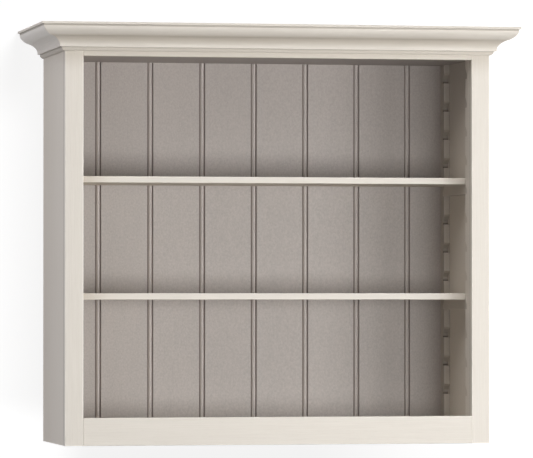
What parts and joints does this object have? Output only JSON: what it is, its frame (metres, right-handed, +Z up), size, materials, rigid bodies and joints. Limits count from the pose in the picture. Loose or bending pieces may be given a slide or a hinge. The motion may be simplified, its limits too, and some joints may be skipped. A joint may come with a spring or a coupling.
{
  "type": "open-front wall cabinet",
  "caption": "Open-front wall cabinet with a mitred crown cornice, a face frame, a boarded back and shelves that rest on loose cleats in saw-tooth battens.",
  "frame": {"origin": "middle of the outline seen from above, cornice included, at the height of the cabinet's foot", "axes": "+Z up, +X to the right as the cabinet is faced, +Y from the open front to the wall"},
  "size_m": [1.056, 0.382, 0.91],
  "materials": {
    "cream_paint": "eggshell cream paint",
    "taupe_paint": "eggshell taupe paint",
    "bare_wood": "planed softwood",
    "steel": "zinc plated"
  },
  "bodies": {
    "carcass": {"left_side": "cream_paint", "right_side": "cream_paint", "bottom_board": "cream_paint", "left_stile": "cream_paint", "right_stile": "cream_paint", "top_rail": "cream_paint", "bottom_rail": "cream_paint", "cornice_front": "cream_paint", "cornice_left": "cream_paint", "cornice_right": "cream_paint", "left_front_batten": "cream_paint", "left_rear_batten": "cream_paint", "right_front_batten": "cream_paint", "right_rear_batten": "cream_paint", "back_board_1": "taupe_paint", "back_board_2": "taupe_paint", "back_board_3": "taupe_paint", "back_board_4": "taupe_paint", "back_board_5": "taupe_paint", "back_board_6": "taupe_paint", "back_board_7": "taupe_paint", "back_board_8": "taupe_paint", "top_board": "taupe_paint", "hanging_rail": "bare_wood", "lower_back_rail": "bare_wood", "top_glue_blocks": "bare_wood", "bottom_glue_blocks": "bare_wood", "frame_dowels": "bare_wood", "rail_dowels": "bare_wood", "left_hanger_plate": "steel", "right_hanger_plate": "steel", "back_brads": "steel", "cornice_screws": "steel", "hanger_screws": "steel"},
    "lower_shelf": {"lower_shelf": "cream_paint"},
    "upper_shelf": {"upper_shelf": "cream_paint"},
    "left_lower_cleat": {"left_lower_cleat": "cream_paint"},
    "left_upper_cleat": {"left_upper_cleat": "cream_paint"},
    "right_lower_cleat": {"right_lower_cleat": "cream_paint"},
    "right_upper_cleat": {"right_upper_cleat": "cream_paint"}
  },
  "joints": [
    {"name": "lower_shelf_lift", "type": "slide", "parent": "carcass", "child": "lower_shelf", "axis": [0, 0, 1], "range_m": [0, 0.1905]},
    {"name": "upper_shelf_lift", "type": "slide", "parent": "carcass", "child": "upper_shelf", "axis": [0, 0, 1], "range_m": [0, 0.254]},
    {"name": "left_lower_cleat_pull", "type": "slide", "parent": "carcass", "child": "left_lower_cleat", "axis": [1, 0, 0], "range_m": [0, 0.03]},
    {"name": "left_upper_cleat_pull", "type": "slide", "parent": "carcass", "child": "left_upper_cleat", "axis": [1, 0, 0], "range_m": [0, 0.03]},
    {"name": "right_lower_cleat_pull", "type": "slide", "parent": "carcass", "child": "right_lower_cleat", "axis": [-1, 0, 0], "range_m": [0, 0.03]},
    {"name": "right_upper_cleat_pull", "type": "slide", "parent": "carcass", "child": "right_upper_cleat", "axis": [-1, 0, 0], "range_m": [0, 0.03]}
  ]
}
